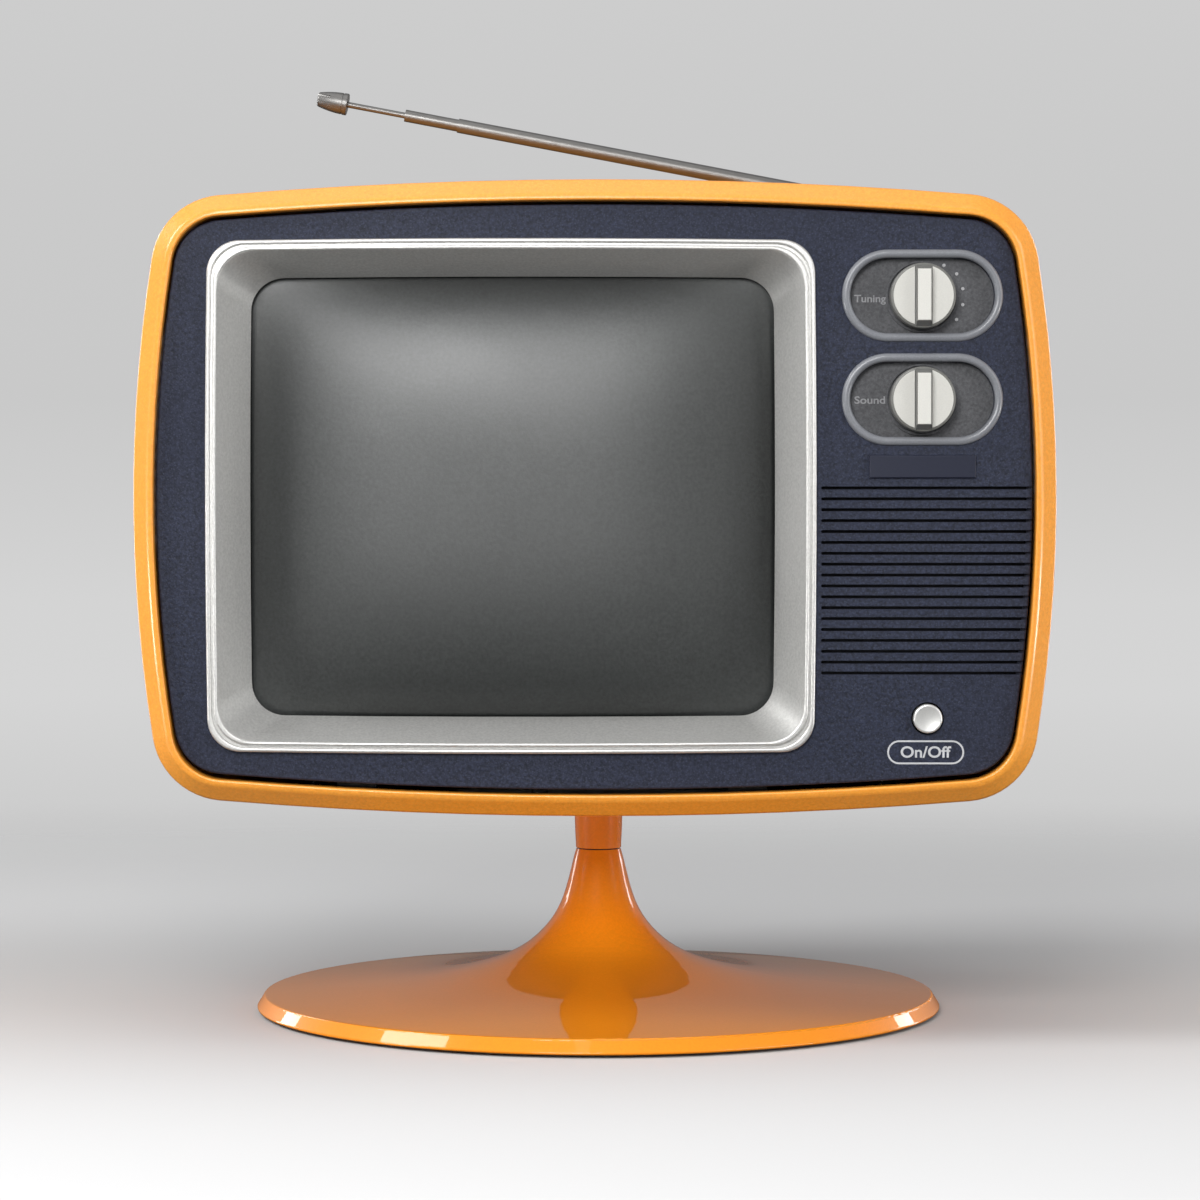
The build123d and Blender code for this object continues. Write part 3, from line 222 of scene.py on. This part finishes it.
surface("laminations", ["mains_transformer"],
        color=(0.09, 0.075, 0.06), rough=0.45, grain=900, bump=0.5, depth=0.0004, mottle=0.2,
        stretch=(1, 12, 1))
surface("blue_sleeve", ["board_capacitors"],
        color=(0.02, 0.045, 0.13), rough=0.3, grain=900, bump=0.06, depth=0.0002, mottle=0.1)
surface("black_anodised", ["heat_sink"],
        color=(0.03, 0.03, 0.032), rough=0.4, metallic=0.7, grain=500, bump=0.2, depth=0.0002,
        mottle=0.15, stretch=(1, 1, 0.15))
surface("cone_paper", ["speaker_cone"],
        color=(0.055, 0.05, 0.045), rough=0.85, grain=900, bump=0.5, depth=0.0004, mottle=0.25)
surface("grille_cloth", ["grille_cloth"],
        color=(0.010, 0.010, 0.014), rough=0.9, grain=1400, bump=0.7, depth=0.0004, mottle=0.3)
surface("lead_red", ["anode_cap"],
        color=(0.10, 0.014, 0.012), rough=0.5, grain=900, bump=0.2, depth=0.0002, mottle=0.15)
surface("terminal_resin", ["antenna_terminals"],
        color=(0.16, 0.085, 0.03), rough=0.5, grain=900, bump=0.25, depth=0.0002, mottle=0.2)


# ---------------------------------------------------------------- local colour changes: painted shade
# Cabinet opening: a rounded rectangle with bowed sides, looking along Y
MOUTH_X, MOUTH_Z = -0.0004, 0.2502
MOUTH_HALF_WIDTH, MOUTH_HALF_HEIGHT = 0.20095, 0.1354
MOUTH_CORNER = 0.0238
MOUTH_SIDE_BOW = 0.690  # radius of the left and right edges
MOUTH_TOP_BOW = 2.100  # radius of the top and bottom edges
# The two limits below bound the painted shade inside the cabinet's opening
SHADE_MARGIN = 0.0085  # how far outside the opening the black still reaches
SHADE_FROM_Y = -0.1236  # only behind this depth


def shader_parts(material):
    """The tree, the principled shader and the socket now feeding its base colour."""
    tree = material.node_tree
    shader = next(node for node in tree.nodes if node.type == "BSDF_PRINCIPLED")
    return tree, shader, shader.inputs["Base Color"].links[0].from_socket


def paint_shade_inside_cabinet(material):
    """Painted shade: the cabinet's moulding is painted black inside, from just behind the lip,
    where the gap shows only shade.
    """
    tree, shader, base = shader_parts(material)

    def calc(operation, *values):
        inputs = dict(enumerate(values))
        return add_node(tree, "Math", inputs, operation=operation).outputs[0]

    def past_corner(along, across, bow, half_size):
        """Distance beyond the corner centre on one axis, with the edge's bow added."""
        sag = calc("MULTIPLY", calc("MULTIPLY", across, across), 0.5 / bow)
        reach = calc("ADD", calc("ABSOLUTE", along), sag)
        return calc("MAXIMUM", calc("SUBTRACT", reach, half_size - MOUTH_CORNER), 0.0)

    place = add_node(tree, "TexCoord").outputs["Object"]
    x, y, z = add_node(tree, "SeparateXYZ", {0: place}).outputs
    from_x = calc("SUBTRACT", x, MOUTH_X)
    from_z = calc("SUBTRACT", z, MOUTH_Z)
    past_x = past_corner(from_x, from_z, MOUTH_SIDE_BOW, MOUTH_HALF_WIDTH)
    past_z = past_corner(from_z, from_x, MOUTH_TOP_BOW, MOUTH_HALF_HEIGHT)
    distance = calc("SQRT", calc("ADD", calc("MULTIPLY", past_x, past_x),
                                 calc("MULTIPLY", past_z, past_z)))
    # inside: mask of the painted shade behind the lip
    inside = calc("MULTIPLY", calc("LESS_THAN", distance, MOUTH_CORNER + SHADE_MARGIN),
                  calc("GREATER_THAN", y, SHADE_FROM_Y))
    feed(tree, shader.inputs["Base Color"],
         mix_colors(tree, inside, base, (0.010, 0.009, 0.008, 1)))
    # The painted shade has no clear coat over it
    coat = shader.inputs["Coat Weight"]
    feed(tree, coat, calc("MULTIPLY", calc("SUBTRACT", 1.0, inside), coat.default_value))


def paint_shade_on_upward_faces(material, gain):
    """Painted shade: multiply the colour of upward faces by gain, leaving upright ones alone, for
    the cabinet's shadow on the stand's top.
    """
    tree, shader, base = shader_parts(material)
    normal = add_node(tree, "NewGeometry").outputs["True Normal"]
    normal_z = add_node(tree, "SeparateXYZ", {0: normal}).outputs[2]
    upward = map_range(tree, normal_z, source=(0.55, 0.98), interpolation="SMOOTHSTEP")
    feed(tree, shader.inputs["Base Color"], mix_colors(tree, upward, base, gain, "MULTIPLY"))


def paint_shade_on_turned_glass(material):
    """Painted shade: darken the swollen glass's colour, and weaken its reflection, where it turns
    away from the front.
    """
    tree, shader, base = shader_parts(material)
    normal = add_node(tree, "TexCoord").outputs["Normal"]
    normal_y = add_node(tree, "SeparateXYZ", {0: normal}).outputs[1]
    # strength scales colour and reflection; its low values are the painted shade
    strength = map_range(tree, normal_y, source=(-0.990, -0.895), target=(1.0, 0.42),
                         interpolation="SMOOTHSTEP")
    feed(tree, shader.inputs["Base Color"], mix_colors(tree, strength, (0, 0, 0, 1), base))
    feed(tree, shader.inputs["Specular IOR Level"], strength)


# Painted shade: black inside the cabinet's opening
paint_shade_inside_cabinet(shell_orange)
# Painted shade: the stand's top faces darkened as if under the cabinet's shadow
paint_shade_on_upward_faces(stand_orange, gain=(0.68, 0.76, 1.0, 1))
# Painted shade: dark edges on the screen glass
paint_shade_on_turned_glass(screen_glass)


# ---------------------------------------------------------------- printed lettering
PANEL_PRINT_Y = -131.08 * MM
DISH_PRINT_Y = -127.08 * MM
DISH_LABEL_X = 125.3 * MM
FONT_CAP = 0.70  # capital height of the font at size 1
FONT_BOLD = 0.02  # outline offset at size 1
ARC_STEPS = 24


def printed_piece(name, mesh, material):
    """Add a flat print that moves with the head."""
    piece = bpy.data.objects.new(name, mesh)
    scene.collection.objects.link(piece)
    mesh.materials.clear()
    mesh.materials.append(material)
    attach(piece, "head")


def printed_words(name, words, *, x, y, z, cap, width, material):
    """Words centred on x, z; cap is the height of the capitals, width the full run."""
    curve = bpy.data.curves.new(name + "_curve", "FONT")
    curve.body = words
    curve.offset = FONT_BOLD
    curve.resolution_u = 6
    source = bpy.data.objects.new(name + "_tmp", curve)
    scene.collection.objects.link(source)
    bpy.context.view_layer.update()
    evaluated = source.evaluated_get(bpy.context.evaluated_depsgraph_get())
    mesh = bpy.data.meshes.new_from_object(evaluated)
    bpy.data.objects.remove(source)
    across = [vertex.co.x for vertex in mesh.vertices]
    left = min(across)
    run = max(across) - left
    for vertex in mesh.vertices:
        u = (vertex.co.x - left) / run - 0.5
        v = vertex.co.y / FONT_CAP - 0.5
        vertex.co = (x + u * width, y, z + v * cap)
    mesh.name = name
    printed_piece(name, mesh, material)


def printed_pill(name, *, x, y, z, width, height, line, material):
    """Thin outline with half-round ends; line is its thickness."""
    verts = []
    end_x = width / 2 - height / 2
    for inset in (0.0, line):
        radius = height / 2 - inset
        for side, start in ((1, -math.pi / 2), (-1, math.pi / 2)):
            for k in range(ARC_STEPS + 1):
                angle = start + math.pi * k / ARC_STEPS
                verts.append((x + side * end_x + radius * math.cos(angle), y,
                              z + radius * math.sin(angle)))
    count = len(verts) // 2
    faces = [(i, (i + 1) % count, count + (i + 1) % count, count + i) for i in range(count)]
    mesh = bpy.data.meshes.new(name)
    mesh.from_pydata(verts, [], faces)
    mesh.update()
    printed_piece(name, mesh, material)


printed_words("label_dial_upper", "Tuning", x=DISH_LABEL_X, y=DISH_PRINT_Y, z=341.2 * MM,
              cap=3.3 * MM, width=14.6 * MM, material=printed_dim)
printed_words("label_dial_lower", "Sound", x=DISH_LABEL_X, y=DISH_PRINT_Y, z=295.0 * MM,
              cap=3.3 * MM, width=14.0 * MM, material=printed_dim)
printed_words("label_button", "On/Off", x=150.8 * MM, y=PANEL_PRINT_Y, z=134.6 * MM,
              cap=5.0 * MM, width=23.0 * MM, material=printed_label)
printed_pill("label_button_frame", x=150.7 * MM, y=PANEL_PRINT_Y, z=134.4 * MM,
             width=35.0 * MM, height=10.9 * MM, line=0.8 * MM, material=printed_label)


# ---------------------------------------------------------------- backdrop
BACKDROP_REACH = 0.2  # the backdrop's ramp runs between plus and minus this sine of elevation
# (sine of the viewing elevation, display grey 0-255)
BACKDROP = [
    (-0.200, 224), (-0.125, 216), (-0.108, 212), (-0.095, 204), (-0.083, 204), (-0.062, 209),
    (-0.046, 213), (-0.018, 212), (0.012, 206), (0.042, 201), (0.101, 202), (0.160, 205)]
# (position from straight down at 0 to straight up at 1, linear rgb)
AMBIENT = [(0.44, (0.13, 0.127, 0.124)), (0.56, (0.27, 0.27, 0.27)), (1.0, (0.42, 0.42, 0.43))]


def linear_grey(level):
    """Linear rgb of a light display grey; the curve's dark end isn't needed here."""
    return (((level / 255.0 + 0.055) / 1.055) ** 2.4,) * 3


def build_world():
    """The camera sees the backdrop; every other ray sees the ambient light."""
    world = bpy.data.worlds.new("studio")
    scene.world = world
    tree = empty_tree(world)
    direction = add_node(tree, "TexCoord").outputs["Generated"]
    elevation = add_node(tree, "SeparateXYZ", {0: direction}).outputs["Z"]

    def background(reach, stops):
        position = map_range(tree, elevation, source=(-reach, reach))
        ramp = add_node(tree, "ValToRGB", {0: position})
        fill_ramp(ramp, stops)
        return add_node(tree, "Background", {0: ramp.outputs[0]}).outputs[0]

    backdrop = background(BACKDROP_REACH, [
        ((sine + BACKDROP_REACH) / (2 * BACKDROP_REACH), linear_grey(level))
        for sine, level in BACKDROP])
    ambient = background(1.0, AMBIENT)
    seen = add_node(tree, "LightPath").outputs["Is Camera Ray"]
    shown = add_node(tree, "MixShader", {0: seen, 1: ambient, 2: backdrop})
    add_node(tree, "OutputWorld", {0: shown.outputs[0]})


scene.view_settings.view_transform = "Standard"
scene.view_settings.look = "None"
build_world()


# ---------------------------------------------------------------- floor
def floor_material():
    """Matt floor, greyer round the stand as painted shadow, that fades into the backdrop far away.
    """
    material = bpy.data.materials.new("floor_pale")
    tree = empty_tree(material)
    place = add_node(tree, "TexCoord").outputs["Object"]

    def length(vector):
        return add_node(tree, "VectorMath", {0: vector}, operation="LENGTH").outputs["Value"]

    # Painted shadow: the camera's floor grey drops from 0.70 to 0.54 towards the stand
    around = add_node(tree, "Mapping", {
        "Vector": place, "Location": (0.11, -0.08, 0.0), "Scale": (0.55, 1.0, 1.0)})
    pale = map_range(tree, length(around.outputs[0]), source=(0.02, 0.50), target=(0.54, 0.70),
                     interpolation="SMOOTHERSTEP")
    # Bounced light sees a darker floor than the camera does
    seen = add_node(tree, "LightPath").outputs["Is Camera Ray"]
    grey = add_node(tree, "Mix", {0: seen, 2: 0.16, 3: pale}, data_type="FLOAT").outputs[0]
    color = add_node(tree, "CombineColor", {0: grey, 1: grey, 2: grey}).outputs[0]
    matt = add_node(tree, "BsdfPrincipled", {
        "Base Color": color, "Roughness": 0.9, "Specular IOR Level": 0.1})

    # The fade is centred 0.3 m in front of the origin
    shifted = add_node(tree, "VectorMath", {0: place, 1: (0.0, 0.3, 0.0)}, operation="ADD")
    fade = map_range(tree, length(shifted.outputs[0]), source=(0.7, 1.7),
                     interpolation="SMOOTHSTEP")
    clear = add_node(tree, "BsdfTransparent")
    shown = add_node(tree, "MixShader", {0: fade, 1: matt.outputs[0], 2: clear.outputs[0]})
    add_node(tree, "OutputMaterial", {0: shown.outputs[0]})
    return material


bpy.ops.mesh.primitive_circle_add(vertices=128, radius=6.0, fill_type="NGON",
                                  location=(0, 0, -0.0002))
floor = bpy.context.object
floor.name = "studio_floor"
floor.data.materials.append(floor_material())


# ---------------------------------------------------------------- lights
def area(name, location, target, *, size, power, glossy_only=False):
    """Rectangular light aimed at target; size is (width, height) in metres, power in watts."""
    data = bpy.data.lights.new(name, "AREA")
    data.shape = "RECTANGLE"
    data.size, data.size_y = size
    data.energy = power
    light = bpy.data.objects.new(name, data)
    scene.collection.objects.link(light)
    light.location = location
    light.rotation_mode = "QUATERNION"
    light.rotation_quaternion = (Vector(target) - Vector(location)).to_track_quat("-Z", "Y")
    if glossy_only:
        light.visible_diffuse = False


area("key_left", (-1.6, -0.50, 1.30), (0, -0.1, 0.25), size=(0.7, 0.7), power=18)
area("fill_right", (1.7, -1.3, 0.9), (0, 0, 0.2), size=(0.9, 1.1), power=11)
area("front_soft", (-0.26, -1.50, 0.78), (0, -0.13, 0.25), size=(0.6, 0.6), power=15.5)
area("top_soft", (-0.3, -0.35, 2.1), (0, -0.05, 0.2), size=(2.0, 1.6), power=9)
SIDES = (("left", -1), ("right", 1))
for side_name, side in SIDES:
    area("low_" + side_name, (side * 1.25, -0.60, 0.10), (0, 0, 0.10),
         size=(0.30, 0.12), power=4.0)
for side_name, side in SIDES:
    area("strip_" + side_name, (side * 1.15, 0.80, 0.45), (0, 0, 0.15),
         size=(0.22, 1.0), power=6, glossy_only=True)

# ---------------------------------------------------------------- camera
CAMERA_SWING = math.radians(0.70)  # round the set from straight in front, towards +X
CAMERA_DISTANCE = 1.651
CAMERA_HEIGHT = 0.2311
CAMERA_DOWN_TILT = 1.03  # degrees
CAMERA_TURN = 0.00044978  # radians to its right, off the line to the Z axis

camera_data = bpy.data.cameras.new("camera")
camera_data.sensor_width = 36.0
camera_data.lens = 100.05
camera_data.clip_start = 0.05
camera_data.clip_end = 50.0
camera = bpy.data.objects.new("camera", camera_data)
scene.collection.objects.link(camera)
camera.location = (CAMERA_DISTANCE * math.sin(CAMERA_SWING),
                   -CAMERA_DISTANCE * math.cos(CAMERA_SWING), CAMERA_HEIGHT)
camera.rotation_euler = (math.radians(90.0 - CAMERA_DOWN_TILT), 0.0, CAMERA_SWING - CAMERA_TURN)
scene.camera = camera

bpy.context.view_layer.update()
